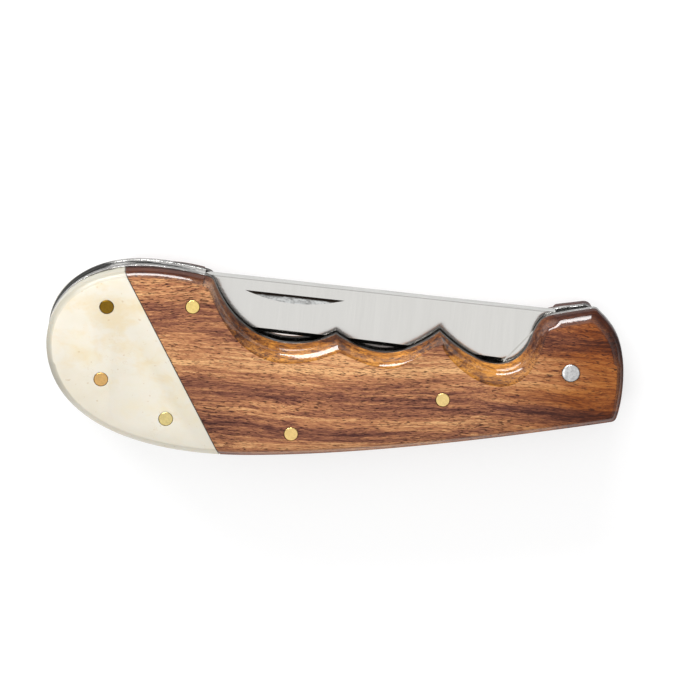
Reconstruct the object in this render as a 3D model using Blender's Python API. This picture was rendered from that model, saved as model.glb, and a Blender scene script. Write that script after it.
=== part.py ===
"""Folding pocket knife with finger grooves, shown closed and lying on its back scale.

+X runs towards the pivot end, +Y towards the opening side where the blade's spine shows, and +Z up
from the back scale to the front one. The origin is under the middle of the knife, on the surface it
lies on. Lengths are in millimetres inside this file and become metres as each mesh is made.
"""

from math import acos, cos, pi, radians, sin

import bmesh
import bpy
from mathutils import Matrix, Vector
from mathutils.geometry import interpolate_bezier

MM = 0.001

# Layers of the handle, counted up from the surface it lies on.
SCALE_THICKNESS = 4.2
LINER_THICKNESS = 1.0
CORE_THICKNESS = 2.4
GAP = 0.3
BACK_LINER_Z = SCALE_THICKNESS + GAP
CORE_Z = BACK_LINER_Z + LINER_THICKNESS + GAP
FRONT_LINER_Z = CORE_Z + CORE_THICKNESS + GAP
FRONT_SCALE_Z = FRONT_LINER_Z + LINER_THICKNESS + GAP
HANDLE_THICKNESS = FRONT_SCALE_Z + SCALE_THICKNESS
MIDDLE_Z = HANDLE_THICKNESS / 2

# Scales: the round-over of the outer edge, and the plain wall left below the carved grooves.
EDGE_ROUND = 1.5
GROOVE_LAND = 0.6
ROUND_STEPS = 4
# How much lower than the liners each scale's dome is, and how far the back scale and liner are set
# back at the upper corner of the pivot end.
FRONT_CROWN_DROP = 0.4
BACK_CROWN_DROP = 1.2
BACK_CORNER_CUT = 1.6

# Slanted joint between bone cap and wood.
JOINT_TOP = Vector((-44.0, 20.8))
JOINT_BOTTOM = Vector((-24.4, -19.4))

# Pins.
PIN_RADIUS = 1.45
PIN_CHAMFER = 0.15
PIVOT = Vector((49.0, -2.0))
PIVOT_RADIUS = 1.85
PIVOT_DOME = 0.4
ROUND_SIDES = 24
PIN_PLACES = {
    "butt_pin_upper": (-47.3, 12.3),
    "butt_pin_middle": (-48.7, -3.3),
    "spring_pin_butt": (-35.3, -11.9),
    "scale_pin_upper": (-29.5, 12.3),
    "spring_pin_middle": (-9.2, -15.2),
    "scale_pin_lower": (22.4, -7.8),
}

# Tang and spring. The tang has a flat for each end of the blade's travel and an arc between them.
# The blade turns by half a turn less TANG_TURN, which brings its spine along the handle's back.
BACK_SLOPE = radians(5.56)
SPINE_SLOPE = radians(-6.44)
TANG_TURN = BACK_SLOPE - SPINE_SLOPE
TANG_FLAT = 7.2
TANG_ARC = 7.4
SPRING_FACE = TANG_FLAT + GAP
SPRING_END = 4.0
SHOULDER = -4.4
TANG_ARC_STEPS = 14

# Blade, along the spine (first number) and square to it (second), from the pivot.
SPINE_HEIGHT = 11.2
BLADE_TIP = (-77.6, SPINE_HEIGHT)
BELLY = ((-76.2, 4.2), (-72.0, -0.1))
EDGE_START = (-66.0, -0.15)
EDGE_END = (-13.0, -1.0)
CHOIL = ((-9.5, -1.2), (-9.5, -8.4))
TANG_HEEL = 7.5
GRIND_TOP = SPINE_HEIGHT - 1.0
GRIND_BOTTOM = -4.0
GRIND_SLOPE = 0.1
PLUNGE_TOP = -5.0
PLUNGE_LEAN = 0.76
TIP_SIDE = BLADE_TIP[0] - 5.0
NICK_LINE = 8.6
NICK_CENTRE = -58.7
NICK_LENGTH = 20.3
NICK_DEPTH = 0.75
NICK_WIDTH = 1.9
NICK_SIDES = 200


def bezier(start, handle_a, handle_b, end, steps):
    """Points along one cubic curve, without its last point, which the next stretch starts with."""
    corners = [Vector(p) for p in (start, handle_a, handle_b, end)]
    return [p.to_2d() for p in interpolate_bezier(*[c.to_3d() for c in corners], steps + 1)[:-1]]


def plain_stretch(crown_drop, corner_cut):
    """The handle's rounded outside, from the front of the dome round the butt to the pivot end."""
    crown = 20.2 - crown_drop
    front = 18.1 - crown_drop / 2
    corner = Vector((54.2, 10.9)) - corner_cut * Vector((1.0, 0.3))
    above = Vector((58.0, 7.4)) - corner_cut * Vector((1.9, 0.55))
    below = Vector((60.0, 4.0)) - corner_cut * Vector((0.0, 1.5))
    return (
        bezier((-27.2, front), (-32.7, front + 1.5), (-37.5, crown), (-40.5, crown), 5)
        + bezier((-40.5, crown), (-53.2, crown), (-60.0, 12.6), (-60.0, 4.0), 9)
        + bezier((-60.0, 4.0), (-60.0, -11.4), (-43.4, -20.2), (-18.0, -20.2), 12)
        + bezier((-18.0, -20.2), (4.0, -20.2), (31.3, -17.0), (58.2, -12.9), 7)
        + bezier((58.2, -12.9), (59.4, -10.2), (60.0, -6.0), (60.0, -2.3), 3)
        + bezier((60.0, -2.3), below, above, corner, 5)
        + bezier(corner, corner - Vector((3.2, 0.4)), (48.0, 10.0), (45.4, 9.5), 2)
    )


def groove_lip(crown_drop):
    """Three finger grooves where the scales meet the liners, from the pivot end to the dome."""
    drop = crown_drop / 2
    return (
        bezier((45.4, 9.5), (43.4, 9.2), (42.4, 8.2), (41.2, 5.5), 4)
        + bezier((41.2, 5.5), (39.3, -1.6), (32.7, -5.2), (21.8, 5.8), 11)
        + bezier((21.8, 5.8), (14.5, 0.4), (8.7, -0.7), (0.2, 5.3), 10)
        + bezier((0.2, 5.3), (-9.8, 0.3), (-20.8, 4.5), (-25.0, 16.7 - drop), 13)
        + bezier((-25.0, 16.7 - drop), (-25.4, 17.6 - drop), (-26.2, 18.0 - drop), (-27.2, 18.1 - drop), 4)
    )


def groove_rim(crown_drop):
    """The same grooves where they meet the flat of a scale, stretch for stretch."""
    drop = crown_drop / 2
    return (
        bezier((45.8, 7.8), (44.9, 7.6), (44.3, 7.2), (43.9, 5.8), 4)
        + bezier((43.9, 5.8), (37.8, -17.4), (19.6, 4.0), (22.6, 4.3), 11)
        + bezier((22.6, 4.3), (14.2, 1.2), (14.8, -4.9), (0.8, 2.5), 10)
        + bezier((0.8, 2.5), (-14.6, -4.3), (-21.8, 3.9), (-25.8, 15.0 - drop), 13)
        + bezier((-25.8, 15.0 - drop), (-26.1, 15.8 - drop), (-26.7, 16.2 - drop), (-27.6, 16.3 - drop), 4)
    )


def handle_outline(corner_cut):
    return plain_stretch(0.0, corner_cut) + groove_lip(0.0)


def inset(outline, width):
    """The closed counter-clockwise outline moved inwards by width, with mitred corners."""
    moved = []
    for before, point, after in zip(outline[-1:] + outline[:-1], outline, outline[1:] + outline[:1]):
        arriving = (point - before).normalized()
        leaving = (after - point).normalized()
        left = Vector((-arriving.y - leaving.y, arriving.x + leaving.x)).normalized()
        square = Vector((-arriving.y, arriving.x))
        moved.append(point + left * (width / left.dot(square)))
    return moved


def layer(bm, outline, z):
    return [bm.verts.new((p.x * MM, p.y * MM, z * MM)) for p in outline]


def join_layers(bm, layers):
    """Closes a stack of equal outlines, counter-clockwise and counted upwards, into one solid."""
    for lower, upper in zip(layers, layers[1:]):
        for i in range(len(lower)):
            j = (i + 1) % len(lower)
            bm.faces.new((lower[i], lower[j], upper[j], upper[i]))
    bm.faces.new(reversed(layers[0]))
    bm.faces.new(layers[-1])


def prism(outline, bottom, top):
    bm = bmesh.new()
    join_layers(bm, [layer(bm, outline, bottom), layer(bm, outline, top)])
    return bm


def turned(profile):
    """A solid of revolution about Z from (radius, z) pairs that start and end on the axis."""
    bm = bmesh.new()
    chain = [bm.verts.new((r * MM, 0, z * MM)) for r, z in profile]
    edges = [bm.edges.new(pair) for pair in zip(chain, chain[1:])]
    bmesh.ops.spin(bm, geom=chain + edges, axis=(0, 0, 1), angle=2 * pi, steps=ROUND_SIDES)
    bmesh.ops.remove_doubles(bm, verts=bm.verts, dist=0.001 * MM)
    bmesh.ops.recalc_face_normals(bm, faces=bm.faces)
    return bm


def material(name, colour, roughness, metallic=0.0):
    made = bpy.data.materials.new(name)
    made.use_nodes = True
    shader = made.node_tree.nodes["Principled BSDF"]
    shader.inputs["Base Color"].default_value = (*colour, 1.0)
    shader.inputs["Roughness"].default_value = roughness
    shader.inputs["Metallic"].default_value = metallic
    return made


def add_object(name, bm, look, place=(0.0, 0.0)):
    mesh = bpy.data.meshes.new(name)
    bm.to_mesh(mesh)
    bm.free()
    mesh.materials.append(look)
    mesh.shade_smooth()
    mesh.set_sharp_from_angle(angle=radians(35))
    made = bpy.data.objects.new(name, mesh)
    made.location = (place[0] * MM, place[1] * MM, 0.0)
    bpy.context.scene.collection.objects.link(made)
    return made


def add_cutter(name, bm):
    mesh = bpy.data.meshes.new(name)
    bm.to_mesh(mesh)
    bm.free()
    cutter = bpy.data.objects.new(name, mesh)
    cutter.hide_render = True
    cutter.display_type = "WIRE"
    bpy.context.scene.collection.objects.link(cutter)
    return cutter


def shape_with(made, cutter, operation="DIFFERENCE"):
    modifier = made.modifiers.new(cutter.name, "BOOLEAN")
    modifier.operation = operation
    modifier.solver = "EXACT"
    modifier.object = cutter


def add_bore(bm, place, radius):
    """One round cutter through the whole thickness of the handle."""
    bmesh.ops.create_cone(
        bm,
        cap_ends=True,
        segments=ROUND_SIDES,
        radius1=radius * MM,
        radius2=radius * MM,
        depth=2 * HANDLE_THICKNESS * MM,
        matrix=Matrix.Translation((place[0] * MM, place[1] * MM, MIDDLE_Z * MM)),
    )


def pin_bores():
    bm = bmesh.new()
    for place in PIN_PLACES.values():
        add_bore(bm, place, PIN_RADIUS + GAP)
    add_bore(bm, PIVOT, PIVOT_RADIUS + GAP)
    return add_cutter("pin_bores", bm)


def scale_body(crown_drop, corner_cut):
    """A whole scale, face up: its plain wall, then the round-over and the carved grooves."""
    plain = plain_stretch(crown_drop, corner_cut)
    grooves = groove_lip(crown_drop)
    lip = plain + grooves
    rim = inset(lip, EDGE_ROUND)[: len(plain)] + groove_rim(crown_drop)
    heights = [EDGE_ROUND] * len(plain) + [SCALE_THICKNESS - GROOVE_LAND] * len(grooves)
    bm = bmesh.new()
    layers = [layer(bm, lip, 0.0)]
    for step in range(ROUND_STEPS + 1):
        turn = pi / 2 * step / ROUND_STEPS
        ring = []
        for outer, inner, height in zip(lip, rim, heights):
            point = outer.lerp(inner, 1 - cos(turn))
            z = SCALE_THICKNESS - height * (1 - sin(turn))
            ring.append(bm.verts.new((point.x * MM, point.y * MM, z * MM)))
        layers.append(ring)
    join_layers(bm, layers)
    return bm


def keep_one_side(bm, wood_side):
    """Cuts the scale along the slanted joint and keeps the wood or the bone."""
    along = (JOINT_BOTTOM - JOINT_TOP).normalized()
    towards_wood = Vector((-along.y, along.x))
    side = towards_wood if wood_side else -towards_wood
    place = JOINT_TOP + side * GAP / 2
    cut = bmesh.ops.bisect_plane(
        bm,
        geom=bm.verts[:] + bm.edges[:] + bm.faces[:],
        plane_co=(place.x * MM, place.y * MM, 0),
        plane_no=(-side.x, -side.y, 0),
        clear_outer=True,
    )
    rim = [e for e in cut["geom_cut"] if isinstance(e, bmesh.types.BMEdge)]
    bmesh.ops.edgeloop_fill(bm, edges=rim)
    bmesh.ops.recalc_face_normals(bm, faces=bm.faces)
    return bm


def stand_front(bm):
    bmesh.ops.translate(bm, vec=(0, 0, FRONT_SCALE_Z * MM), verts=bm.verts)
    return bm


def stand_back(bm):
    """Turns a scale made face up into the back one, whose face lies on the table."""
    bmesh.ops.transform(bm, matrix=Matrix.Diagonal((1, 1, -1, 1)), verts=bm.verts)
    bmesh.ops.reverse_faces(bm, faces=bm.faces)
    bmesh.ops.translate(bm, vec=(0, 0, SCALE_THICKNESS * MM), verts=bm.verts)
    return bm


def add_scales(bores, wood, bone):
    for side, stand, drop, cut in (
        ("front", stand_front, FRONT_CROWN_DROP, 0.0),
        ("back", stand_back, BACK_CROWN_DROP, BACK_CORNER_CUT),
    ):
        for name, look, wood_side in (("wood_scale", wood, True), ("bone_cap", bone, False)):
            body = stand(keep_one_side(scale_body(drop, cut), wood_side))
            shape_with(add_object(f"{side}_{name}", body, look), bores)


def add_liners(bores, steel):
    for name, bottom, cut in (
        ("front_liner", FRONT_LINER_Z, 0.0),
        ("back_liner", BACK_LINER_Z, BACK_CORNER_CUT),
    ):
        plate = prism(handle_outline(cut), bottom, bottom + LINER_THICKNESS)
        shape_with(add_object(name, plate, steel), bores)


def from_back(along, depth):
    """A place given along the handle's back and square to it, counted from the pivot."""
    return PIVOT + Vector(
        (
            along * cos(BACK_SLOPE) + depth * sin(BACK_SLOPE),
            along * sin(BACK_SLOPE) - depth * cos(BACK_SLOPE),
        )
    )


def backspring_zone():
    """Area of the core that the spring fills; its outer edge is the handle's own outline."""
    inner = from_back(-9.0, SPRING_FACE)
    return [
        Vector((-47.6, -22.0)),
        from_back(SPRING_END, 20.0),
        from_back(SPRING_END, SPRING_FACE),
        *bezier(inner, (28.0, -11.6), (6.0, -12.2), (-9.2, -12.2), 8),
        *bezier((-9.2, -12.2), (-22.0, -12.2), (-30.0, -7.6), (-38.4, -6.6), 7),
        Vector((-38.4, -6.6)),
    ]


def butt_spacer_zone():
    """Area of the core that the spacer fills, clear of the spring and of the blade's tip."""
    return [
        Vector((-48.0, -22.0)),
        Vector((-38.8, -6.4)),
        *bezier((-38.0, -5.2), (-33.0, 2.0), (-28.0, 6.0), (-27.0, 9.8), 6),
        *bezier((-27.0, 9.8), (-26.7, 12.0), (-26.9, 14.5), (-27.2, 17.0), 4),
        Vector((-27.3, 21.0)),
        Vector((-62.0, 21.0)),
        Vector((-62.0, -22.0)),
    ]


def add_core(bores, steel):
    for name, zone in (("backspring", backspring_zone()), ("butt_spacer", butt_spacer_zone())):
        blank = prism(handle_outline(BACK_CORNER_CUT), CORE_Z, CORE_Z + CORE_THICKNESS)
        made = add_object(name, blank, steel)
        area = add_cutter(f"{name}_area", prism(zone, CORE_Z - 1, CORE_Z + CORE_THICKNESS + 1))
        shape_with(made, area, "INTERSECT")
        shape_with(made, bores)


def blade_outline():
    """The closed blade about its pivot: along the spine, then square to it, counter-clockwise."""
    along = Vector((cos(TANG_TURN), sin(TANG_TURN)))
    heel = Vector((sin(TANG_TURN), -cos(TANG_TURN))) * TANG_FLAT - along * TANG_HEEL
    edge_end = Vector(EDGE_END)
    corner = acos(TANG_FLAT / TANG_ARC)
    start = TANG_TURN - pi / 2 + corner
    sweep = pi - TANG_TURN - 2 * corner
    angles = [start + sweep * i / TANG_ARC_STEPS for i in range(TANG_ARC_STEPS + 1)]
    return (
        [heel]
        + [TANG_ARC * Vector((cos(angle), sin(angle))) for angle in angles]
        + [Vector((SHOULDER, TANG_FLAT)), Vector((SHOULDER, SPINE_HEIGHT))]
        + bezier(BLADE_TIP, *BELLY, EDGE_START, 10)
        + [Vector(EDGE_START)]
        + bezier(edge_end, *CHOIL, heel, 5)
    )


def grind_cutter(side):
    """The wedge taken off one face, from just under the spine to past the cutting edge."""
    face = CORE_THICKNESS / 2
    depth = GRIND_TOP - GRIND_BOTTOM
    section = [(GRIND_TOP, face), (GRIND_TOP, face + 2), (GRIND_BOTTOM, face + 2)]
    section.append((GRIND_BOTTOM, face - GRIND_SLOPE * depth))
    bm = bmesh.new()
    tip_end = []
    tang_end = []
    for y, z in section:
        plunge = PLUNGE_TOP - (GRIND_TOP - y) * PLUNGE_LEAN
        tip_end.append(bm.verts.new((TIP_SIDE * MM, y * MM, (MIDDLE_Z + side * z) * MM)))
        tang_end.append(bm.verts.new((plunge * MM, y * MM, (MIDDLE_Z + side * z) * MM)))
    join_layers(bm, [tip_end, tang_end])
    bmesh.ops.recalc_face_normals(bm, faces=bm.faces)
    return bm


def nick_cutter():
    """A large shallow cone whose flat base cuts the nail nick's straight upper edge."""
    radius = (NICK_LENGTH**2 / 4 + NICK_DEPTH**2) / (2 * NICK_DEPTH)
    slope = NICK_DEPTH / NICK_WIDTH - GRIND_SLOPE
    length = 1.5 * NICK_WIDTH
    surface = MIDDLE_Z + CORE_THICKNESS / 2 - GRIND_SLOPE * (GRIND_TOP - NICK_LINE)
    centre = Vector((NICK_CENTRE, NICK_LINE - length / 2, surface + radius - NICK_DEPTH)) * MM
    bm = bmesh.new()
    bmesh.ops.create_cone(
        bm,
        cap_ends=True,
        segments=NICK_SIDES,
        radius1=radius * MM,
        radius2=(radius - slope * length) * MM,
        depth=length * MM,
        matrix=Matrix.Translation(centre) @ Matrix.Rotation(pi / 2, 4, "X"),
    )
    return bm


def add_blade(steel):
    """The blade's own axes follow its spine, and its origin is on the pivot's axis."""
    body = prism(blade_outline(), CORE_Z, CORE_Z + CORE_THICKNESS)
    blade = add_object("blade", body, steel, PIVOT)
    blade.rotation_euler.z = SPINE_SLOPE
    bore = bmesh.new()
    add_bore(bore, (0.0, 0.0), PIVOT_RADIUS + GAP)
    for name, shape in (
        ("grind_front", grind_cutter(1)),
        ("grind_back", grind_cutter(-1)),
        ("nail_nick", nick_cutter()),
        ("tang_bore", bore),
    ):
        cutter = add_cutter(name, shape)
        cutter.parent = blade
        shape_with(blade, cutter)


def add_pins(brass, steel):
    shank = PIN_RADIUS - PIN_CHAMFER
    top = HANDLE_THICKNESS
    for name, place in PIN_PLACES.items():
        profile = [(0, 0), (shank, 0), (PIN_RADIUS, PIN_CHAMFER)]
        profile += [(PIN_RADIUS, top - PIN_CHAMFER), (shank, top), (0, top)]
        add_object(name, turned(profile), brass, place)
    profile = [(0, 0), (PIVOT_RADIUS - PIN_CHAMFER, 0), (PIVOT_RADIUS, PIN_CHAMFER), (PIVOT_RADIUS, top)]
    profile += [(0.75 * PIVOT_RADIUS, top + 0.6 * PIVOT_DOME), (0.4 * PIVOT_RADIUS, top + 0.9 * PIVOT_DOME)]
    profile += [(0, top + PIVOT_DOME)]
    add_object("pivot_pin", turned(profile), steel, PIVOT)


def main():
    for old in list(bpy.data.objects):
        bpy.data.objects.remove(old)
    wood = material("rosewood", (0.30, 0.10, 0.04), 0.22)
    bone = material("bone", (0.86, 0.80, 0.66), 0.35)
    steel = material("satin_steel", (0.62, 0.61, 0.59), 0.28, 1.0)
    spring_steel = material("spring_steel", (0.42, 0.42, 0.43), 0.32, 1.0)
    brass = material("brass", (0.72, 0.52, 0.22), 0.3, 1.0)
    bores = pin_bores()
    add_scales(bores, wood, bone)
    add_liners(bores, steel)
    add_core(bores, spring_steel)
    add_blade(steel)
    add_pins(brass, spring_steel)


main()
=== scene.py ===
"""Looks for the closed folding knife: its carved, lacquered handle, bone caps, steel and brass.

Lengths are in millimetres inside this file and become metres as each mesh is made.
"""
from math import acos, cos, pi, radians, sin

import bmesh
import bpy
from mathutils import Matrix, Vector
from mathutils.geometry import interpolate_bezier


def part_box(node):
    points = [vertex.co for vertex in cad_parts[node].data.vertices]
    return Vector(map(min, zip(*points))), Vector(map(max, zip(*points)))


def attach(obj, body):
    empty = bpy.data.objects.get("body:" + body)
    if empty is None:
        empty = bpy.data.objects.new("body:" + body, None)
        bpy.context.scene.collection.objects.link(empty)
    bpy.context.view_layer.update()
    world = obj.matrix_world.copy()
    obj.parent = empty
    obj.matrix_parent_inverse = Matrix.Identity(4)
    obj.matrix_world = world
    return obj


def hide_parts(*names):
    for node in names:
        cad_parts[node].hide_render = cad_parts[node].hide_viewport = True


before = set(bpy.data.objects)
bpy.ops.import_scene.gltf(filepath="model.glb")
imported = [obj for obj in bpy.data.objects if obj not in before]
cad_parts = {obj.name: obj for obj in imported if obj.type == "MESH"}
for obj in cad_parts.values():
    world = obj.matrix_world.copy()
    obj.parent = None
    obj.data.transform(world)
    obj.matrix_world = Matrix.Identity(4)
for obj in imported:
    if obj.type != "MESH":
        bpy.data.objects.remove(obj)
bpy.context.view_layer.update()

MM = 0.001
HANDLE = "handle"
BLADE = "blade"

# Layers, from the CAD solids; the thin gaps between them are closed here.
BACK_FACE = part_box("back_wood_scale")[0].z / MM
FRONT_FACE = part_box("front_wood_scale")[1].z / MM
MIDDLE = (BACK_FACE + FRONT_FACE) / 2
SCALE_DEPTH = (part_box("front_wood_scale")[1].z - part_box("front_wood_scale")[0].z) / MM
SEAT = 0.02
LINER_OUTSIDE = FRONT_FACE - SCALE_DEPTH - SEAT
LINER_THICKNESS = 1.4
LINER_INSIDE = LINER_OUTSIDE - LINER_THICKNESS
CORE_PLAY = 0.05
CORE_HALF = LINER_INSIDE - MIDDLE - CORE_PLAY
BLADE_HALF = 1.25

# Handle.
EDGE_ROUND = 1.2
PIVOT_END_ROUND = 2.1
ROUND_WIDENS = (20.0, 42.0)
LOWER_EDGE_SHARE = 0.3
# Heights in mm over which the painted shade on the round-over fades out towards the lower edge.
ROUND_OVER_SHADE_FADE = (-12.0, -4.0)
EDGE_POWER = 1.6
LAND = 0.35
CARVED_FADE = 26
GROOVE_POWER = 1.5
FRONT_CROWN_DROP = 0.4
BACK_CROWN_DROP = 1.2
BACK_CORNER_CUT = 1.6
ROUND_STEPS = 20
SHOULDER_RISE = 0.11
SHOULDER_WAVE = 0.36
SHOULDER_PLACE = 0.25
SIDES = (
    ("front", True, FRONT_CROWN_DROP, 0.0),
    ("back", False, BACK_CROWN_DROP, BACK_CORNER_CUT),
)
JOINT_TOP = Vector((-44.0, 20.8))
JOINT_BOTTOM = Vector((-24.4, -19.4))
JOINT_ALONG = (JOINT_BOTTOM - JOINT_TOP).normalized()
JOINT_ACROSS = Vector((-JOINT_ALONG.y, JOINT_ALONG.x))
GLUE = 0.2
GLUE_OVERLAP = 0.02
GLUE_SUNK = 0.03
SHARP_ANGLE = 38.0

# Pins.
BRASS_PINS = (
    "butt_pin_upper",
    "butt_pin_middle",
    "spring_pin_butt",
    "scale_pin_upper",
    "spring_pin_middle",
    "scale_pin_lower",
)
PIN_RADIUS = 1.45
PIVOT_RADIUS = 1.85
PIVOT_DOME = 0.4
PIN_SHADOW = 0.09
PIN_SIDES = 64
PIN_CHAMFER = 0.1

# Blade, along its spine and square to it, from the pivot; the spring and tang as in the CAD.
PIVOT = Vector((0.5 * (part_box("pivot_pin")[0].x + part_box("pivot_pin")[1].x) / MM,
                0.5 * (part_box("pivot_pin")[0].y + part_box("pivot_pin")[1].y) / MM))
BACK_SLOPE = radians(5.56)
SPINE_SLOPE = radians(-6.44)
TANG_TURN = BACK_SLOPE - SPINE_SLOPE
TANG_FLAT = 7.2
TANG_ARC = 7.4
SPRING_FACE = 7.32
SPRING_END = 4.0
SHOULDER = -4.4
SPINE_HEIGHT = 11.2
NICK_LINE = 8.6
GRIND_TOP = SPINE_HEIGHT - 0.3
GRIND_DEPTH = 12.4
PLUNGE_PLACE = -5.0
PLUNGE_SLOPE = 0.76
PAST_TIP = -84.0

# Looks. GROWTH_TONES are the wood's broad bands, (share of the width, tone) from the lower edge up.
FLAT_GLOSS = 0.1
GROWTH_TONES = (
    (0.00, 0.46),
    (0.08, 0.50),
    (0.14, 0.35),
    (0.21, 0.50),
    (0.29, 0.36),
    (0.38, 0.42),
    (0.46, 0.60),
    (0.55, 0.61),
    (0.63, 0.38),
    (0.72, 0.40),
    (0.82, 0.50),
    (0.95, 0.44),
)

# Light and view, in metres.
FLOOR_GLOW = 0.51
WORLD_LIGHT = 0.90
HORIZON_FADE = {"From Min": 0.05, "From Max": 0.55, "To Min": 0.12, "To Max": WORLD_LIGHT}
VIEW_TILT = radians(16.0)
VIEW_DISTANCE = 1.25
VIEW_AIM = Vector((0.0031, 0.0019, 0.010))
VIEW_WIDTH = 0.1458
LAMPS = (
    ("fill", (-0.70, -0.15, 0.75), (0.8, 0.8), 0.9),
    ("key", (-0.27, 0.82, 0.27), (1.0, 0.23), 18.0),
)


def clamped(share):
    return min(max(share, 0.0), 1.0)


def bezier(start, handle_a, handle_b, end, steps):
    """Points along one cubic curve, without its last point, which the next stretch starts with."""
    corners = [Vector(p).to_3d() for p in (start, handle_a, handle_b, end)]
    return [p.to_2d() for p in interpolate_bezier(*corners, steps + 1)[:-1]]


def plain_stretch(crown_drop, cut):
    """The handle's rounded outside, from the front of the dome round the butt to the pivot end.

    The upper corner at the pivot end is set back by cut, as it is on the back liner and scale.
    """
    crown = 20.2 - crown_drop
    front = 18.1 - crown_drop / 2
    corner = Vector((54.2, 10.9)) - cut * Vector((1.0, 0.3))
    above = Vector((58.4, 6.8)) - cut * Vector((1.9, 0.55))
    below = Vector((60.0, 3.6)) - cut * Vector((0.0, 1.5))
    turn_start = corner + Vector((0.7, -0.7))
    turn_end = corner + Vector((-0.8, -0.05))
    return (
        bezier((-27.2, front), (-32.7, front + 1.5), (-37.5, crown), (-40.5, crown), 22)
        + bezier((-40.5, crown), (-53.2, crown), (-60.0, 12.6), (-60.0, 4.0), 44)
        + bezier((-60.0, 4.0), (-60.0, -11.4), (-43.4, -20.2), (-18.0, -20.2), 60)
        + bezier((-18.0, -20.2), (4.0, -20.2), (31.3, -17.0), (57.6, -13.0), 60)
        + bezier((57.6, -13.0), (58.1, -12.92), (58.4, -12.75), (58.65, -12.1), 6)
        + bezier((58.65, -12.1), (59.5, -9.6), (60.0, -6.0), (60.0, -2.3), 14)
        + bezier((60.0, -2.3), below, above, turn_start, 20)
        + bezier(
            turn_start, corner + Vector((0.3, -0.15)), corner + Vector((-0.1, 0.05)), turn_end, 6
        )
        + bezier(turn_end, corner + Vector((-3.7, -0.5)), (48.0, 10.0), (45.4, 9.5), 12)
    )


def groove_lip(crown_drop=0.0):
    """Three finger grooves where the scales meet the liners, from the pivot end to the dome."""
    fall = crown_drop / 2
    return (
        bezier((45.4, 9.5), (43.4, 9.2), (42.4, 8.2), (41.2, 5.5), 12)
        + bezier((41.2, 5.5), (39.3, -1.6), (32.7, -5.2), (21.8, 5.8), 44)
        + bezier((21.8, 5.8), (14.5, 0.4), (8.7, -0.7), (0.2, 5.3), 40)
        + bezier((0.2, 5.3), (-9.8, 0.3), (-20.8, 4.5), (-25.0, 16.7 - fall), 52)
        + bezier(
            (-25.0, 16.7 - fall), (-25.4, 17.6 - fall), (-26.2, 18.0 - fall), (-27.2, 18.1 - fall), 12
        )
    )


def groove_rim(crown_drop):
    """The same grooves where they meet the flat of a scale, stretch for stretch."""
    fall = crown_drop / 2
    return (
        bezier((45.8, 7.45), (44.9, 7.25), (44.3, 6.9), (43.9, 5.8), 12)
        + bezier((43.9, 5.8), (37.8, -17.4), (19.6, 4.0), (22.6, 4.3), 44)
        + bezier((22.6, 4.3), (14.2, 1.2), (14.8, -4.9), (0.8, 2.5), 40)
        + bezier((0.8, 2.5), (-14.6, -4.3), (-21.8, 3.9), (-25.8, 15.2 - fall), 52)
        + bezier(
            (-25.8, 15.2 - fall), (-26.1, 16.1 - fall), (-26.7, 16.6 - fall), (-27.6, 16.8 - fall), 12
        )
    )


def handle_outline(cut):
    """The whole outline of the handle where the layers meet."""
    return plain_stretch(0.0, cut) + groove_lip()


def inset(outline, width):
    """The closed counter-clockwise outline moved inwards by width, with mitred corners.

    Where a small fillet folds over itself on the way in, its points are spread between their
    nearest good neighbours.
    """
    mitre_limit, sound_share = 0.4, 0.985
    moved = []
    for before, point, after in zip(outline[-1:] + outline[:-1], outline, outline[1:] + outline[:1]):
        arriving = (point - before).normalized()
        leaving = (after - point).normalized()
        left = Vector((-arriving.y - leaving.y, arriving.x + leaving.x)).normalized()
        square = Vector((-arriving.y, arriving.x))
        moved.append(point + left * (width / max(left.dot(square), mitre_limit)))
    sound = [
        min((point - other).length for other in outline) > sound_share * width for point in moved
    ]
    for i in range(len(moved)):
        if not sound[i]:
            low = next(i - step for step in range(1, len(moved)) if sound[i - step])
            high = next(i + step for step in range(1, len(moved)) if sound[(i + step) % len(moved)])
            share = (i - low) / (high - low)
            moved[i] = moved[low].lerp(moved[high % len(moved)], share)
    return moved


def ring(bm, outline, z):
    """New vertices along the outline at one height."""
    return [bm.verts.new((p.x * MM, p.y * MM, z * MM)) for p in outline]


def join_rings(bm, rings):
    """Closes a stack of equal outlines, counter-clockwise and counted upwards, into one solid."""
    for lower, upper in zip(rings, rings[1:]):
        for i in range(len(lower)):
            j = (i + 1) % len(lower)
            bm.faces.new((lower[i], lower[j], upper[j], upper[i]))
    bm.faces.new(reversed(rings[0]))
    bm.faces.new(rings[-1])


def prism(outline, bottom, top):
    """A straight-walled solid over the outline."""
    bm = bmesh.new()
    join_rings(bm, [ring(bm, outline, bottom), ring(bm, outline, top)])
    return bm


def add_piece(name, bm, look, smooth_angle=SHARP_ANGLE):
    """Makes an object of the mesh and shades it smooth up to the given angle in degrees."""
    mesh = bpy.data.meshes.new(name)
    bm.to_mesh(mesh)
    bm.free()
    mesh.materials.append(look)
    mesh.shade_smooth()
    mesh.set_sharp_from_angle(angle=radians(smooth_angle))
    piece = bpy.data.objects.new(name, mesh)
    bpy.context.scene.collection.objects.link(piece)
    return piece


def apply_modifiers(piece):
    """Bakes the piece's modifiers into its mesh, so that nothing else has to stay in the scene."""
    evaluated = piece.evaluated_get(bpy.context.evaluated_depsgraph_get())
    mesh = bpy.data.meshes.new_from_object(evaluated)
    piece.modifiers.clear()
    piece.data = mesh


def boolean(piece, bm, operation="DIFFERENCE"):
    """Cuts the solid bm out of the piece, or keeps only what is inside it."""
    mesh = bpy.data.meshes.new("cutter")
    bm.to_mesh(mesh)
    bm.free()
    cutter = bpy.data.objects.new("cutter", mesh)
    bpy.context.scene.collection.objects.link(cutter)
    modifier = piece.modifiers.new("cut", "BOOLEAN")
    modifier.operation = operation
    modifier.solver = "EXACT"
    modifier.object = cutter
    apply_modifiers(piece)
    bpy.data.objects.remove(cutter)


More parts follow.
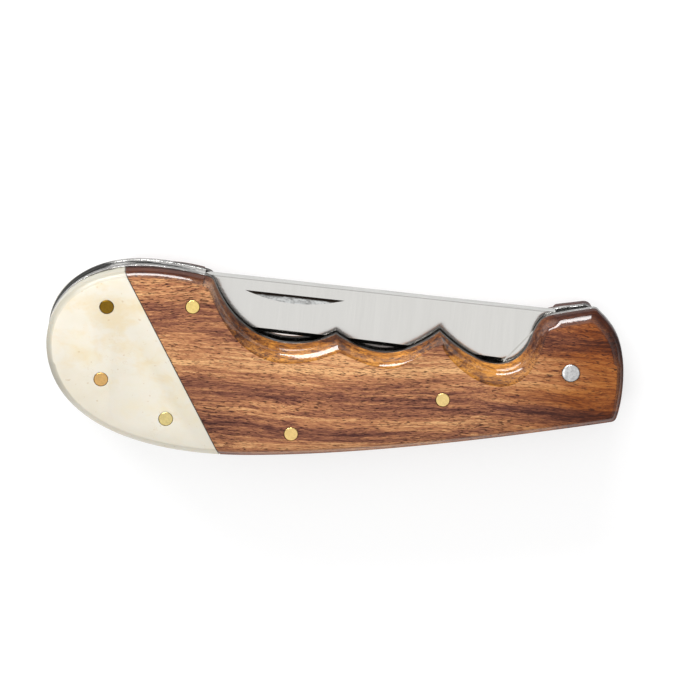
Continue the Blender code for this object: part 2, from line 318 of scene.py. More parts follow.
def bevel(piece, width, angle=SHARP_ANGLE):
    """Rounds the piece's edges that turn by more than the given angle in degrees."""
    modifier = piece.modifiers.new("edge", "BEVEL")
    modifier.width = width * MM
    modifier.segments = 2
    modifier.limit_method = "ANGLE"
    modifier.angle_limit = radians(angle)
    modifier.harden_normals = False
    apply_modifiers(piece)


def pin_place(name):
    """Where the CAD has the pin, seen from the front."""
    low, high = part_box(name)
    return Vector(((low.x + high.x) / 2 / MM, (low.y + high.y) / 2 / MM))


def rounded_rim(lip):
    """Where the round-over meets the flat: narrow round the butt, wide at the pivot end."""
    narrow = inset(lip, EDGE_ROUND)
    wide = inset(lip, PIVOT_END_ROUND)
    start, end = ROUND_WIDENS
    shares = [
        clamped((p.x - start) / (end - start)) if p.y > 0 else LOWER_EDGE_SHARE for p in lip
    ]
    return [a.lerp(b, share) for a, b, share in zip(narrow, wide, shares)]


def shoulder(inwards):
    """The low bead a gouge leaves along the foot of a groove, by the share of the way inwards."""
    turn = (inwards - SHOULDER_PLACE) / SHOULDER_WAVE
    if abs(turn) >= 1:
        return 0.0
    return -SHOULDER_RISE * sin(2 * pi * turn) * (1 - turn * turn)


def scale_body(crown_drop, cut):
    """A whole scale, face up from zero: plain wall, round-over and carved grooves.

    The attribute "carved" is 1 on the walls of the grooves and fades out where they end. The round-over
    attribute is the mask of painted shade: 1 at the foot of the round-over and 0 at its top, fading out
    towards the lower edge.
    "steep" falls from 1 on an upright wall to 0 on the flat.
    """
    plain = plain_stretch(crown_drop, cut)
    lip = plain + groove_lip(crown_drop)
    rim = rounded_rim(lip)[: len(plain)] + groove_rim(crown_drop)
    bm = bmesh.new()
    carved = bm.verts.layers.float.new("carved")
    round_over_shade = bm.verts.layers.float.new("round_over_shade")
    steep = bm.verts.layers.float.new("steep")
    fade_low, fade_high = ROUND_OVER_SHADE_FADE
    rings = [ring(bm, lip, 0.0)]
    for step in range(ROUND_STEPS + 1):
        turn = pi / 2 * step / ROUND_STEPS
        row = []
        for i, (low, high) in enumerate(zip(lip, rim)):
            from_end = min(i - len(plain), len(lip) - 1 - i)
            share = clamped(from_end / CARVED_FADE)
            power = GROOVE_POWER if from_end >= 0 else EDGE_POWER
            depth = SCALE_DEPTH - LAND if from_end >= 0 else (high - low).length
            inwards = 1 - cos(turn) ** power
            point = low.lerp(high, inwards)
            z = SCALE_DEPTH - depth * (1 - sin(turn) ** power) + share * shoulder(inwards)
            vert = bm.verts.new((point.x * MM, point.y * MM, z * MM))
            # The round-over gets painted shade, strongest at its foot, fading out towards the lower edge
            # and to nothing in the grooves.
            upper_side = clamped((low.y - fade_low) / (fade_high - fade_low))
            vert[carved] = share if step < ROUND_STEPS else 0.0
            vert[round_over_shade] = (1 - share) * upper_side * cos(turn) ** 0.5
            vert[steep] = cos(turn) ** 2
            row.append(vert)
        rings.append(row)
    for vert, above in zip(rings[0], rings[1]):
        vert[carved] = above[carved]
        vert[round_over_shade] = above[round_over_shade]
        vert[steep] = 1.0
    join_rings(bm, rings)
    return bm


def keep_one_side(bm, wood_side):
    """Cuts the scale along the slanted joint and keeps the wood or the bone."""
    side = JOINT_ACROSS * (1 if wood_side else -1)
    place = JOINT_TOP + side * GLUE / 2
    cut = bmesh.ops.bisect_plane(
        bm,
        geom=bm.verts[:] + bm.edges[:] + bm.faces[:],
        plane_co=(place.x * MM, place.y * MM, 0),
        plane_no=(-side.x, -side.y, 0),
        clear_outer=True,
    )
    rim = [e for e in cut["geom_cut"] if isinstance(e, bmesh.types.BMEdge)]
    bmesh.ops.edgeloop_fill(bm, edges=rim)
    bmesh.ops.recalc_face_normals(bm, faces=bm.faces)
    return bm


def stand(bm, front):
    """Puts a scale made face up in its place; the back one is turned over."""
    if front:
        bmesh.ops.translate(bm, vec=(0, 0, (FRONT_FACE - SCALE_DEPTH) * MM), verts=bm.verts)
        return bm
    bmesh.ops.transform(bm, matrix=Matrix.Diagonal((1, 1, -1, 1)), verts=bm.verts)
    bmesh.ops.reverse_faces(bm, faces=bm.faces)
    bmesh.ops.translate(bm, vec=(0, 0, (BACK_FACE + SCALE_DEPTH) * MM), verts=bm.verts)
    return bm


def bores():
    """One cutter for every pin hole, a little wider than the pins so that a dark line shows."""
    bm = bmesh.new()
    for name in BRASS_PINS + ("pivot_pin",):
        radius = (PIVOT_RADIUS if name == "pivot_pin" else PIN_RADIUS) + PIN_SHADOW
        place = pin_place(name)
        bmesh.ops.create_cone(
            bm,
            cap_ends=True,
            segments=PIN_SIDES,
            radius1=radius * MM,
            radius2=radius * MM,
            depth=2 * FRONT_FACE * MM,
            matrix=Matrix.Translation((place.x * MM, place.y * MM, MIDDLE * MM)),
        )
    return bm


def add_scales(wood, bone):
    """The wood and the bone of both sides, drilled for the pins."""
    for side, front, drop, cut in SIDES:
        for node, look, wood_side in (("wood_scale", wood, True), ("bone_cap", bone, False)):
            body = stand(keep_one_side(scale_body(drop, cut), wood_side), front)
            piece = add_piece(f"{side}_{node}_surface", body, look)
            boolean(piece, bores())
            piece.data.set_sharp_from_angle(angle=radians(SHARP_ANGLE))
            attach(piece, HANDLE)
            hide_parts(f"{side}_{node}")


def add_glue_lines(look):
    """The dark film between bone and wood, a hair below the surface of both."""
    across = JOINT_ACROSS * (GLUE / 2 + GLUE_OVERLAP)
    strip = [JOINT_TOP - across, JOINT_BOTTOM - across, JOINT_BOTTOM + across, JOINT_TOP + across]
    for side, front, drop, cut in SIDES:
        body = scale_body(drop, cut)
        for vert in body.verts:
            vert.co.z -= GLUE_SUNK * MM
        piece = add_piece(f"{side}_glue_line", stand(body, front), look)
        boolean(piece, prism(strip, BACK_FACE - 1, FRONT_FACE + 1), "INTERSECT")
        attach(piece, HANDLE)


def add_liners(front_look, back_look):
    """The steel sheets under the scales, with painted shade in the grooves."""
    skipped = 4
    top_over = LINER_OUTSIDE - LINER_INSIDE
    for name, look, bottom, cut in (
        ("front_liner", front_look, LINER_INSIDE, 0.0),
        ("back_liner", back_look, 2 * MIDDLE - LINER_OUTSIDE, BACK_CORNER_CUT),
    ):
        plain = plain_stretch(0.0, cut)
        bm = bmesh.new()
        carved = bm.verts.layers.float.new("carved")
        rings = [ring(bm, plain + groove_lip(), z) for z in (bottom, bottom + top_over)]
        join_rings(bm, rings)
        first = len(plain) + skipped
        # Marks the groove stretch, where the steel is given painted shade.
        for vert in rings[0][first:] + rings[1][first:]:
            vert[carved] = 1.0
        piece = add_piece(f"{name}_plate", bm, look)
        bevel(piece, 0.07)
        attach(piece, HANDLE)
        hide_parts(name)


def from_back(along, depth):
    """A place given along the handle's back and square to it, counted from the pivot."""
    return PIVOT + Vector(
        (
            along * cos(BACK_SLOPE) + depth * sin(BACK_SLOPE),
            along * sin(BACK_SLOPE) - depth * cos(BACK_SLOPE),
        )
    )


def backspring_zone():
    """The part of the core that the spring takes up."""
    inner = from_back(-9.0, SPRING_FACE)
    return [
        Vector((-47.75, -22.0)),
        from_back(SPRING_END, 20.0),
        from_back(SPRING_END, SPRING_FACE),
        *bezier(inner, (28.0, -11.4), (6.0, -12.2), (-9.2, -12.2), 30),
        *bezier((-9.2, -12.2), (-22.0, -12.2), (-30.0, -7.6), (-38.55, -6.5), 24),
        Vector((-38.55, -6.5)),
    ]


def butt_spacer_zone():
    """The part of the core that the butt spacer takes up."""
    return [
        Vector((-47.85, -22.0)),
        Vector((-38.65, -6.45)),
        *bezier((-38.0, -5.2), (-33.0, 2.0), (-28.0, 6.0), (-27.0, 9.8), 20),
        *bezier((-27.0, 9.8), (-26.7, 12.0), (-26.9, 14.5), (-26.95, 17.0), 14),
        Vector((-26.95, 21.0)),
        Vector((-62.0, 21.0)),
        Vector((-62.0, -22.0)),
    ]


def add_core(look):
    """The steel between the liners: backspring and butt spacer."""
    outline = inset(handle_outline(BACK_CORNER_CUT), 0.04)
    for name, zone in (("backspring", backspring_zone()), ("butt_spacer", butt_spacer_zone())):
        body = prism(outline, MIDDLE - CORE_HALF, MIDDLE + CORE_HALF)
        piece = add_piece(f"{name}_body", body, look)
        boolean(piece, prism(zone, 0, FRONT_FACE), "INTERSECT")
        bevel(piece, 0.06)
        piece.data.set_sharp_from_angle(angle=radians(SHARP_ANGLE))
        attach(piece, HANDLE)
        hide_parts(name)


def cutting_edge():
    """The edge from the tip round the belly to the end by the tang, in the blade's own axes."""
    return (
        bezier((-77.6, SPINE_HEIGHT), (-76.2, 4.2), (-72.0, -0.1), (-66.0, -0.15), 60)
        + bezier((-66.0, -0.15), (-48.0, -0.15), (-30.0, -0.5), (-13.0, -1.0), 40)
    )


def blade_outline():
    """The closed blade about its pivot: along the spine, then square to it, counter-clockwise."""
    along = Vector((cos(TANG_TURN), sin(TANG_TURN)))
    heel = Vector((sin(TANG_TURN), -cos(TANG_TURN))) * TANG_FLAT - along * 7.5
    corner = acos(TANG_FLAT / TANG_ARC)
    start = TANG_TURN - pi / 2 + corner
    sweep = pi - TANG_TURN - 2 * corner
    steps = 60
    arc = [TANG_ARC * Vector((cos(start + sweep * i / steps), sin(start + sweep * i / steps)))
           for i in range(steps + 1)]
    return (
        [heel]
        + arc
        + [Vector((SHOULDER, TANG_FLAT)), Vector((SHOULDER, SPINE_HEIGHT))]
        + cutting_edge()
        + bezier((-13.0, -1.0), (-9.5, -1.2), (-9.5, -8.4), heel, 24)
    )


def ground_off(drop):
    """How much the hollow grind takes off each face at a distance below its upper line."""
    return 0.17 * drop - 0.0088 * drop * drop


def blade_grind(side):
    """The hollow taken off one face, from just under the spine to past the cutting edge."""
    clear, steps = 5.0, 16
    section = [(GRIND_TOP - GRIND_DEPTH, clear)]
    for i in range(steps + 1):
        drop = GRIND_DEPTH * (1 - i / steps)
        section.append((GRIND_TOP - drop, BLADE_HALF - ground_off(drop)))
    section.append((GRIND_TOP, clear))
    bm = bmesh.new()
    ends = [[], []]
    for y, z in section:
        plunge = PLUNGE_PLACE - (GRIND_TOP - y) * PLUNGE_SLOPE
        ends[0].append(bm.verts.new((PAST_TIP * MM, y * MM, (MIDDLE + side * z) * MM)))
        ends[1].append(bm.verts.new((plunge * MM, y * MM, (MIDDLE + side * z) * MM)))
    join_rings(bm, ends)
    bmesh.ops.recalc_face_normals(bm, faces=bm.faces)
    return bm


def edge_bevel(side):
    """The sharpened strip along one side of the edge, equally wide from tip to tang."""
    width, reach, land, past, clear = 0.9, 1.2, 0.04, 1.0, 4.0
    edge = cutting_edge()
    bm = bmesh.new()
    rings = []
    for i in range(len(edge)):
        along = (edge[min(i + 1, len(edge) - 1)] - edge[max(i - 1, 0)]).normalized()
        out = Vector((along.y, -along.x))
        thickness = BLADE_HALF - ground_off(max(GRIND_TOP - edge[i].y, 0.0))
        slope = (thickness - land) / width
        section = (
            (-reach, land + reach * slope),
            (past, land - past * slope),
            (past, clear),
            (-reach, clear),
        )
        row = []
        for w, z in section:
            x, y = edge[i].x + out.x * w, edge[i].y + out.y * w
            row.append(bm.verts.new((x * MM, y * MM, (MIDDLE + side * z) * MM)))
        rings.append(row)
    join_rings(bm, rings)
    bmesh.ops.recalc_face_normals(bm, faces=bm.faces)
    return bm


def nail_nick():
    """A large shallow cone whose flat base cuts the nail nick's straight upper edge."""
    length, depth, width, centre = 20.9, 0.75, 1.75, -58.7
    height, face_lean = 3.0, 0.14
    radius = (length**2 / 4 + depth**2) / (2 * depth)
    under_top = GRIND_TOP - NICK_LINE
    surface = MIDDLE + BLADE_HALF - ground_off(under_top)
    place = Vector((centre, NICK_LINE - height / 2, surface + radius - depth))
    bm = bmesh.new()
    bmesh.ops.create_cone(
        bm,
        cap_ends=True,
        segments=720,
        radius1=radius * MM,
        radius2=(radius - (depth / width - face_lean) * height) * MM,
        depth=height * MM,
        matrix=Matrix.Translation(place * MM) @ Matrix.Rotation(pi / 2, 4, "X"),
    )
    return bm


def add_blade(face, spine, nick):
    """The blade, built along its spine and then turned into its closed place."""
    body = prism(blade_outline(), MIDDLE - BLADE_HALF, MIDDLE + BLADE_HALF)
    piece = add_piece("blade_steel", body, face)
    for cutter in (blade_grind(1), blade_grind(-1), edge_bevel(1), edge_bevel(-1), nail_nick()):
        boolean(piece, cutter)
    bevel(piece, 0.05, 50.0)
    piece.data.materials.append(spine)
    piece.data.materials.append(nick)
    for polygon in piece.data.polygons:
        x, y, z = polygon.center / MM
        if y > SPINE_HEIGHT - 0.2 and polygon.normal.y > 0.5:
            polygon.material_index = 1
        # The nick's floor and upper wall take the nick material, black along the upper line: partly
        # oxide, partly painted shade.
        if -69.5 < x < -48.0 and 5.8 < y < NICK_LINE + 0.02 and z > MIDDLE:
            if polygon.normal.y > 0.1 or polygon.normal.y < -0.5:
                polygon.material_index = 2
    piece.data.set_sharp_from_angle(angle=radians(12))
    piece.location = (PIVOT.x * MM, PIVOT.y * MM, 0)
    piece.rotation_euler.z = SPINE_SLOPE
    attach(piece, BLADE)
    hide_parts("blade")


def turned(profile):
    """A solid of revolution about Z from (radius, z) pairs that start and end on the axis."""
    bm = bmesh.new()
    chain = [bm.verts.new((r * MM, 0, z * MM)) for r, z in profile]
    edges = [bm.edges.new(pair) for pair in zip(chain, chain[1:])]
    bmesh.ops.spin(bm, geom=chain + edges, axis=(0, 0, 1), angle=2 * pi, steps=PIN_SIDES)
    bmesh.ops.remove_doubles(bm, verts=bm.verts, dist=0.0005 * MM)
    bmesh.ops.recalc_face_normals(bm, faces=bm.faces)
    return bm


def add_pins(looks, steel):
    """The brass pins, filed flush at both ends, and the pivot with its low dome."""
    for name, look in zip(BRASS_PINS, looks):
        low, high, chamfer = BACK_FACE, FRONT_FACE, PIN_CHAMFER
        profile = [(0, low), (PIN_RADIUS - chamfer, low), (PIN_RADIUS, low + chamfer)]
        profile += [(PIN_RADIUS, high - chamfer), (PIN_RADIUS - chamfer, high), (0, high)]
        place_pin(name, turned(profile), look)
    profile = [(0, BACK_FACE), (PIVOT_RADIUS - PIN_CHAMFER, BACK_FACE)]
    profile += [(PIVOT_RADIUS, BACK_FACE + PIN_CHAMFER), (PIVOT_RADIUS, FRONT_FACE - 0.05)]
    dome_steps = 10
    for i in range(dome_steps + 1):
        turn = pi / 2 * i / dome_steps
        profile.append((PIVOT_RADIUS * cos(turn), FRONT_FACE + PIVOT_DOME * sin(turn)))
    place_pin("pivot_pin", turned(profile), steel)


def place_pin(name, bm, look):
    """Puts a pin made about the origin where the CAD has it."""
    piece = add_piece(f"{name}_metal", bm, look, 30.0)
    place = pin_place(name)
    piece.location = (place.x * MM, place.y * MM, 0)
    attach(piece, HANDLE)
    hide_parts(name)


class Look:
    """A material's node tree, with short calls for the nodes that these looks are made of."""

    def __init__(self, name, **values):
        self.material = bpy.data.materials.new(name)
        self.material.use_nodes = True
        self.tree = self.material.node_tree
        self.shader = self.tree.nodes["Principled BSDF"]
        for socket, value in values.items():
            self.shader.inputs[socket.replace("_", " ")].default_value = value
        metres = self.node("TexCoord").outputs["Object"]
        self.place = self.stretched((1 / MM, 1 / MM, 1 / MM), metres)

    def node(self, kind, inputs=(), **settings):
        made = self.tree.nodes.new("ShaderNode" + kind)
        for name, value in settings.items():
            setattr(made, name, value)
        pairs = inputs.items() if isinstance(inputs, dict) else enumerate(inputs)
        for key, value in pairs:
            self.feed(made.inputs[key], value)
        return made

    def feed(self, socket, value):
        if isinstance(value, bpy.types.NodeSocket):
            self.tree.links.new(value, socket)
        else:
            socket.default_value = value

    def math(self, operation, *values, clamp=False):
        return self.node("Math", values, operation=operation, use_clamp=clamp).outputs[0]

    def stretched(self, scale, place=None):
        place = place or self.place
        return self.node("VectorMath", (place, scale), operation="MULTIPLY").outputs[0]

    def noise(self, place, detail=2.0, roughness=0.5, distortion=0.0):
        inputs = {"Vector": place, "Scale": 1.0, "Detail": detail}
        inputs |= {"Roughness": roughness, "Distortion": distortion}
        return self.node("TexNoise", inputs)

    def fac(self, scale, detail=2.0, roughness=0.5, place=None, distortion=0.0):
        return self.noise(self.stretched(scale, place), detail, roughness, distortion).outputs["Fac"]

    def span(self, value, low, high, to_low=0.0, to_high=1.0):
        inputs = {"Value": value, "From Min": low, "From Max": high, "To Min": to_low, "To Max": to_high}
        return self.node("MapRange", inputs, clamp=True).outputs["Result"]

    def ramp(self, value, *stops):
        made = self.node("ValToRGB", {"Fac": value})
        elements = made.color_ramp.elements
        while len(elements) < len(stops):
            elements.new(0.5)
        for element, (position, colour) in zip(elements, stops):
            element.position = position
            element.color = (*colour, 1.0)
        return made.outputs["Color"]

    def mix(self, amount, a, b, blend="MIX"):
        made = self.node("Mix", data_type="RGBA", blend_type=blend)
        colours = [s for s in made.inputs if s.type == "RGBA"]
        self.feed(made.inputs[0], amount)
        for socket, value in zip(colours, (a, b)):
            self.feed(socket, value if isinstance(value, bpy.types.NodeSocket) else (*value, 1.0))
        return next(s for s in made.outputs if s.type == "RGBA")

    def attribute(self, name):
        return self.node("Attribute", attribute_name=name).outputs["Fac"]

    def along(self, axis, place=None):
        return self.node("SeparateXYZ", (place or self.place,)).outputs[axis]

    def sway(self, value, noise, amount):
        """The value moved up and down by a noise that is 0.5 on average."""
        return self.math("MULTIPLY_ADD", self.math("SUBTRACT", noise, 0.5), amount, value)

    # The colour multiplied by another: real tone in some places, painted shade in others.
    def multiplied(self, colour, multiplier):
        return self.mix(1.0, colour, multiplier, "MULTIPLY")

    def bump(self, height, depth_mm, strength=1.0):
        inputs = {"Height": height, "Distance": depth_mm * MM, "Strength": strength}
        return self.node("Bump", inputs).outputs["Normal"]

    def give(self, socket, value):
        self.feed(self.shader.inputs[socket], value)
        return self


def rosewood():
    """Lacquered rosewood: growth bands, fine fibre, short dark pores and amber carved walls."""
    look = Look(
        "rosewood_lacquered",
        Roughness=0.45,
        Coat_Roughness=0.07,
        Coat_IOR=1.52,
        Specular_IOR_Level=0.08,
    )
    place = look.node("VectorRotate", {"Vector": look.place, "Angle": radians(2.5)}).outputs[0]
    drift = look.noise(look.stretched((0.022, 0.06, 0.06), place), 2.0).outputs["Color"]
    drift = look.node("VectorMath", (drift, (0.5, 0.5, 0.5)), operation="SUBTRACT").outputs[0]
    drift = look.stretched((0.0, 7.0, 7.0), drift)
    grain = look.node("VectorMath", (place, drift), operation="ADD").outputs[0]
    growth = look.ramp(
        look.span(look.along("Y", grain), -20.0, 20.0),
        *((stop, (tone, tone, tone)) for stop, tone in GROWTH_TONES),
    )
    bands = look.fac((0.012, 0.22, 0.22), 3.0, 0.55, grain)
    streaks = look.fac((0.05, 1.3, 1.3), 5.0, 0.65, grain)
    fibre = look.fac((0.5, 6.5, 6.5), 4.0, 0.68, grain)
    tone = look.sway(growth, bands, 0.55)
    tone = look.sway(tone, streaks, 0.80)
    tone = look.sway(tone, fibre, 0.72)
    flat = look.ramp(
        tone,
        (0.22, (0.066, 0.022, 0.018)),
        (0.38, (0.212, 0.079, 0.046)),
        (0.52, (0.425, 0.182, 0.080)),
        (0.70, (0.68, 0.380, 0.172)),
    )
    end = look.span(look.sway(look.along("X", place), bands, 30.0), 34.0, 54.0)
    flat = look.mix(end, flat, look.multiplied(flat, (0.58, 0.38, 0.20)))
    patch = look.fac((0.35, 0.9, 0.9), 4.0, 0.65, place)
    amber = look.ramp(
        look.sway(tone, patch, 1.1),
        (0.26, (0.026, 0.006, 0.001)),
        (0.48, (0.19, 0.060, 0.005)),
        (0.76, (0.47, 0.190, 0.020)),
    )
    # Painted shade: the carved walls darkened towards the top of the handle.
    upper = look.span(look.along("Y"), 2.5, 8.5, 0.0, 0.9)
    amber = look.mix(upper, amber, look.multiplied(amber, (0.30, 0.22, 0.20)))
    amber = look.mix(end, amber, look.multiplied(amber, (0.40, 0.30, 0.25)))
    colour = look.mix(look.math("MULTIPLY", look.attribute("carved"), 0.9), flat, amber)
    # Painted shade on the round-over: the wood darkened most at the foot of its rim, on the upper side
    # only.
    painted_edge_shade = look.multiplied(flat, (0.13, 0.07, 0.05))
    colour = look.mix(look.attribute("round_over_shade"), colour, painted_edge_shade)
    dashes = look.fac((0.8, 6.2, 6.2), 1.0, 0.4, grain)
    crowd = look.fac((0.05, 0.16, 0.16), 1.0, 0.5, place)
    level = look.span(crowd, 0.35, 0.65, 0.63, 0.57)
    pores = look.span(look.math("SUBTRACT", dashes, level), 0.0, 0.045)
    fine = look.span(look.fac((0.9, 8.0, 8.0), 1.0, 0.4, grain), 0.66, 0.70)
    pores = look.math("MAXIMUM", pores, look.math("MULTIPLY", fine, 0.7))
    colour = look.mix(look.math("MULTIPLY", pores, 0.85), colour, (0.03, 0.010, 0.008))
    look.give("Base Color", colour)
    look.give("Normal", look.bump(look.math("SUBTRACT", fibre, pores), 0.02, 0.5))
    steep = look.attribute("steep")
    off_the_flat = look.span(steep, 0.02, 0.12, FLAT_GLOSS, 1.0)
    off_the_wall = look.span(steep, 0.50, 0.76, 1.0, 0.05)
    look.give("Coat Weight", look.math("MULTIPLY", off_the_flat, off_the_wall))
    peel = look.fac((0.5, 0.5, 0.5), 2.0, 0.5, place)
    ripple = look.fac((2.2, 2.2, 2.2), 2.0, 0.5, place)
    look.give("Coat Normal", look.bump(look.math("MULTIPLY_ADD", ripple, 0.35, peel), 0.06, 0.45))
    return look.material


def polished_bone():
    """Ivory-coloured bone with clouded warm stains, hairline cracks and a few specks."""
    look = Look(
        "polished_bone",
        Roughness=0.36,
        Subsurface_Weight=0.25,
        Subsurface_Radius=(0.0009, 0.0006, 0.0004),
        Subsurface_Scale=1.0,
        Specular_IOR_Level=0.1,
        Coat_Roughness=0.12,
    )
    cloud = look.fac((0.07, 0.09, 0.09), 4.0, 0.6)
    vein = look.fac((0.13, 0.18, 0.18), 5.0, 0.62, distortion=0.4)
    base = look.ramp(
        cloud,
        (0.33, (0.665, 0.615, 0.505)),
        (0.50, (0.69, 0.65, 0.56)),
        (0.66, (0.695, 0.63, 0.485)),
    )
    forward = look.span(look.along("X"), -58.0, -40.0, 0.0, 0.16)
    upper = look.math("MULTIPLY_ADD", look.along("Y"), 0.02, forward)
    warm = look.span(look.math("ADD", vein, look.math("MULTIPLY", upper, 0.35)), 0.57, 0.74)
    colour = look.mix(look.math("MULTIPLY", warm, 0.5), base, (0.665, 0.515, 0.27))
    wander = look.fac((0.10, 0.16, 0.16), 5.0, 0.65)
    crack = look.span(look.math("ABSOLUTE", look.math("SUBTRACT", wander, 0.5)), 0.0, 0.0035, 1.0, 0.0)
    crack = look.math("MULTIPLY", crack, look.span(look.fac((0.12, 0.12, 0.12), 2.0), 0.52, 0.62))
    colour = look.mix(look.math("MULTIPLY", crack, 0.35), colour, (0.50, 0.33, 0.14))
    specks = look.span(look.fac((1.1, 1.3, 1.3), 1.0, 0.5), 0.73, 0.77)
    colour = look.mix(look.math("MULTIPLY", specks, 0.35), colour, (0.45, 0.28, 0.12))
    # Painted shade: the bone's round-over darkened towards its foot, where the key lamp strikes it.
    edge = look.math("MULTIPLY", look.attribute("round_over_shade"), 0.95)
    look.give("Base Color", look.mix(edge, colour, (0.30, 0.285, 0.235)))
    look.give("Coat Weight", look.span(look.attribute("steep"), 0.02, 0.12, 0.2 * FLAT_GLOSS, 0.3))
    relief = look.math("SUBTRACT", look.fac((0.4, 0.4, 0.4), 3.0), crack)
    look.give("Normal", look.bump(relief, 0.03, 0.35))
    return look.material


def satin_blade():
    """Steel brushed square to the spine, with a few stray scratches and faint water marks."""
    look = Look("satin_blade", Metallic=1.0)
    # A thin dark line painted along the face just under the spine: painted shade at its corner.
    rim = look.math("ABSOLUTE", look.math("SUBTRACT", look.along("Y"), SPINE_HEIGHT - 0.14))
    rim = look.span(rim, 0.06, 0.16, 0.45, 0.0)
    brush = look.fac((8.0, 0.09, 0.4), 5.0, 0.7)
    coarse = look.fac((0.55, 0.03, 0.1), 3.0, 0.6)
    cloud = look.fac((0.06, 0.09, 0.09), 3.0)
    tone = look.sway(look.sway(0.5, brush, 0.30), coarse, 0.12)
    colour = look.ramp(tone, (0.3, (0.67, 0.66, 0.635)), (0.7, (0.86, 0.85, 0.82)))
    look.give("Base Color", look.mix(rim, colour, (0.25, 0.25, 0.24)))
    look.give("Roughness", look.span(look.math("ADD", brush, cloud), 0.7, 1.3, 0.12, 0.19))
    look.give("Normal", look.bump(brush, 0.006, 0.5))
    return look.material


def ground_spine():
    """The blade's spine, ground lengthwise and left duller than its faces."""
    look = Look("ground_spine", Metallic=1.0)
    streak = look.fac((0.12, 1.0, 6.0), 4.0, 0.65)
    look.give("Base Color", look.ramp(streak, (0.35, (0.42, 0.42, 0.41)), (0.65, (0.62, 0.62, 0.60))))
    look.give("Roughness", look.span(streak, 0.3, 0.7, 0.42, 0.30))
    look.give("Normal", look.bump(streak, 0.01, 0.4))
    return look.material


def nick_ground():
    """The rough floor of the nail nick, black along its upper line, partly with oxide and partly as
    painted shade.
    """
    look = Look("nick_ground", Metallic=1.0)
    grit = look.fac((2.2, 2.2, 2.2), 4.0, 0.7)
    chatter = look.fac((0.5, 1.4, 1.4), 3.0, 0.6)
    # Black along the upper line: partly oxide, partly painted shade where the wall shades the floor.
    oxide_and_shade = look.span(look.sway(look.along("Y"), grit, 0.5), NICK_LINE - 0.85, NICK_LINE - 0.6)
    tone = look.math("MULTIPLY_ADD", grit, 0.6, chatter)
    steel = look.ramp(tone, (0.62, (0.16, 0.155, 0.15)), (0.9, (0.66, 0.67, 0.66)))
    look.give("Base Color", look.mix(oxide_and_shade, steel, (0.022, 0.016, 0.012)))
    look.give("Roughness", look.span(oxide_and_shade, 0.0, 1.0, 0.34, 0.6))
    look.give("Normal", look.bump(grit, 0.06, 0.7))
    return look.material


def worn_steel(name, dark, light, contrast, roughness, butt_darkening=0.0):
    """Ground steel seen edge on, with streaks along the handle and patches of tarnish."""
    look = Look(name, Metallic=1.0, Specular_Tint=(0.55, 0.55, 0.55, 1.0))
    streak = look.fac((0.5, 1.6, 4.0), 4.0, 0.7)
    patch = look.fac((3.0, 3.2, 3.4), 5.0, 0.8, distortion=0.4)
    stain = look.fac((0.09, 0.09, 0.5), 2.0, 0.6)
    tone = look.sway(look.sway(streak, patch, contrast), stain, contrast)
    # Darker towards the butt by the given amount.
    butt = look.span(look.along("X"), -52.0, -45.0, 2.0 * butt_darkening, 0.0)
    tone = look.math("SUBTRACT", tone, butt)
    colour = look.ramp(tone, (0.40, dark), (0.64, light))
    # Painted shade: the steel darkened where the attribute marks the grooves.
    groove_shade = look.math("MULTIPLY", look.attribute("carved"), 0.85)
    look.give("Base Color", look.mix(groove_shade, colour, look.multiplied(colour, (0.22, 0.20, 0.19))))
    look.give("Roughness", look.span(tone, 0.3, 0.7, roughness + 0.16, roughness))
    look.give("Normal", look.bump(look.math("ADD", streak, patch), 0.02, 0.4))
    return look.material


def filed_brass(name, colour, turn):
    """Brass rod filed flush: short parallel scratches and a light, uneven tarnish."""
    look = Look(name, Metallic=1.0)
    turned_place = look.node("VectorRotate", {"Vector": look.place, "Angle": turn}).outputs[0]
    scratch = look.fac((1.2, 14.0, 1.0), 4.0, 0.7, turned_place)
    patch = look.fac((1.4, 1.4, 1.4), 3.0, 0.6)
    tone = look.sway(patch, scratch, 0.6)
    darker = tuple(c * 0.78 for c in colour)
    look.give("Base Color", look.ramp(tone, (0.3, darker), (0.62, colour)))
    look.give("Roughness", look.span(tone, 0.3, 0.7, 0.42, 0.28))
    look.give("Normal", look.bump(scratch, 0.01, 0.5))
    return look.material


def pivot_steel():
    """The pivot's bright, lightly pitted head."""
    look = Look("pivot_steel", Metallic=1.0)
    patch = look.fac((1.6, 1.6, 1.6), 4.0, 0.7, distortion=0.5)
    look.give("Base Color", look.ramp(patch, (0.35, (0.46, 0.46, 0.46)), (0.6, (0.72, 0.72, 0.72))))
    look.give("Roughness", look.span(patch, 0.3, 0.7, 0.34, 0.16))
    look.give("Normal", look.bump(patch, 0.03, 0.5))
    return look.material


def dark_film():
    """The dark glue that shows between bone and wood."""
    look = Look("glue_film", Roughness=0.4)
    patch = look.fac((2.0, 2.0, 2.0))
    tint = look.ramp(patch, (0.3, (0.012, 0.007, 0.004)), (0.7, (0.05, 0.025, 0.012)))
    look.give("Base Color", tint)
    return look.material


def add_floor():
    """A pale sheet that the knife lies on. It glows, like a light table."""
    look = Look("floor", Roughness=0.9, Specular_IOR_Level=0.1)
    cloud = look.fac((0.004, 0.004, 0.004))
    tint = look.ramp(cloud, (0.0, (0.50, 0.50, 0.50)), (1.0, (0.54, 0.54, 0.54)))
    look.give("Base Color", tint)
    look.shader.inputs["Emission Color"].default_value = (1.0, 1.0, 1.0, 1.0)
    look.shader.inputs["Emission Strength"].default_value = FLOOR_GLOW
    half, top = 4.0 / MM, BACK_FACE - 0.02
    corners = ((-half, -half), (half, -half), (half, half), (-half, half))
    floor = add_piece("floor", prism([Vector(p) for p in corners], -5.0, top), look.material)


def add_lamp(name, place, size, radiance):
    """A rectangular soft light of the given (width, height) in metres that looks at the origin."""
    lamp = bpy.data.lights.new(name, "AREA")
    lamp.shape = "RECTANGLE"
    lamp.size, lamp.size_y = size
    lamp.energy = radiance * pi * size[0] * size[1]
    held = bpy.data.objects.new(name, lamp)
    held.location = place
    held.rotation_euler = (-Vector(place)).to_track_quat("-Z", "Y").to_euler()
    bpy.context.scene.collection.objects.link(held)


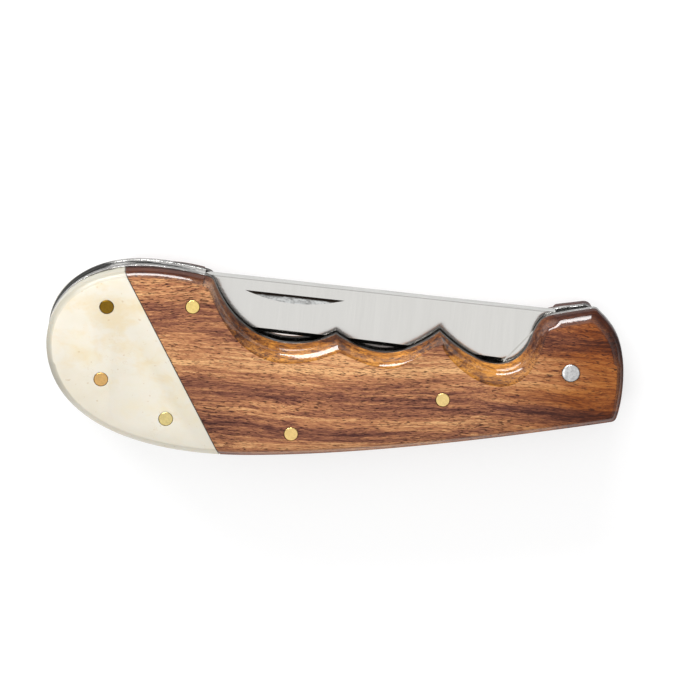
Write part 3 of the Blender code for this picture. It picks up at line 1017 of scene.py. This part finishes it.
def add_light():
    """A white surround, dimmer towards the horizon for everything but the camera, and two lamps."""
    world = bpy.data.worlds.new("studio")
    world.use_nodes = True
    tree = world.node_tree
    background = tree.nodes["Background"]
    background.inputs["Color"].default_value = (1.0, 1.0, 1.0, 1.0)
    direction = tree.nodes.new("ShaderNodeSeparateXYZ")
    fade = tree.nodes.new("ShaderNodeMapRange")
    for name, value in HORIZON_FADE.items():
        fade.inputs[name].default_value = value
    seen = tree.nodes.new("ShaderNodeMath")
    seen.operation = "MAXIMUM"
    tree.links.new(tree.nodes.new("ShaderNodeTexCoord").outputs["Generated"], direction.inputs[0])
    tree.links.new(direction.outputs["Z"], fade.inputs["Value"])
    tree.links.new(fade.outputs["Result"], seen.inputs[0])
    tree.links.new(tree.nodes.new("ShaderNodeLightPath").outputs["Is Camera Ray"], seen.inputs[1])
    tree.links.new(seen.outputs[0], background.inputs["Strength"])
    bpy.context.scene.world = world
    for lamp in LAMPS:
        add_lamp(*lamp)


def add_camera():
    """A long lens above the knife's front, tilted as in the photograph."""
    data = bpy.data.cameras.new("camera")
    data.sensor_width = 36.0
    data.lens = data.sensor_width * VIEW_DISTANCE / VIEW_WIDTH
    data.clip_start = 0.05
    data.clip_end = 20.0
    camera = bpy.data.objects.new("camera", data)
    towards = Vector((0.0, sin(VIEW_TILT), cos(VIEW_TILT)))
    camera.location = VIEW_AIM + towards * VIEW_DISTANCE
    camera.rotation_euler = (-VIEW_TILT, 0.0, 0.0)
    bpy.context.scene.collection.objects.link(camera)
    bpy.context.scene.camera = camera


def main():
    bpy.context.scene.view_settings.view_transform = "Standard"
    add_scales(rosewood(), polished_bone())
    add_glue_lines(dark_film())
    add_liners(
        worn_steel("liner_steel_polished", (0.22, 0.215, 0.21), (0.74, 0.735, 0.72), 0.6, 0.2),
        worn_steel("liner_steel_worn", (0.03, 0.03, 0.028), (0.78, 0.77, 0.75), 1.3, 0.24, 0.25),
    )
    core_steel = ((0.015, 0.015, 0.014), (0.72, 0.71, 0.69), 1.3, 0.26, 0.35)
    add_core(worn_steel("spring_steel_mottled", *core_steel))
    add_blade(satin_blade(), ground_spine(), nick_ground())
    # The three pins in the bone differ in colour as painted reflection: a dark one, a pinkish one and a
    # pale one; the three golds differ at random.
    brasses = (
        filed_brass("brass_painted_dark_reflection", (0.25, 0.14, 0.016), 0.4),
        filed_brass("brass_painted_pink_reflection", (0.76, 0.46, 0.17), 1.1),
        filed_brass("brass_painted_pale_reflection", (0.80, 0.65, 0.28), 2.0),
        filed_brass("brass_gold_a", (1.00, 0.76, 0.27), 0.2),
        filed_brass("brass_gold_b", (0.95, 0.68, 0.27), 0.9),
        filed_brass("brass_gold_c", (0.96, 0.71, 0.29), 1.6),
    )
    add_pins(brasses, pivot_steel())
    add_floor()
    add_light()
    add_camera()


main()
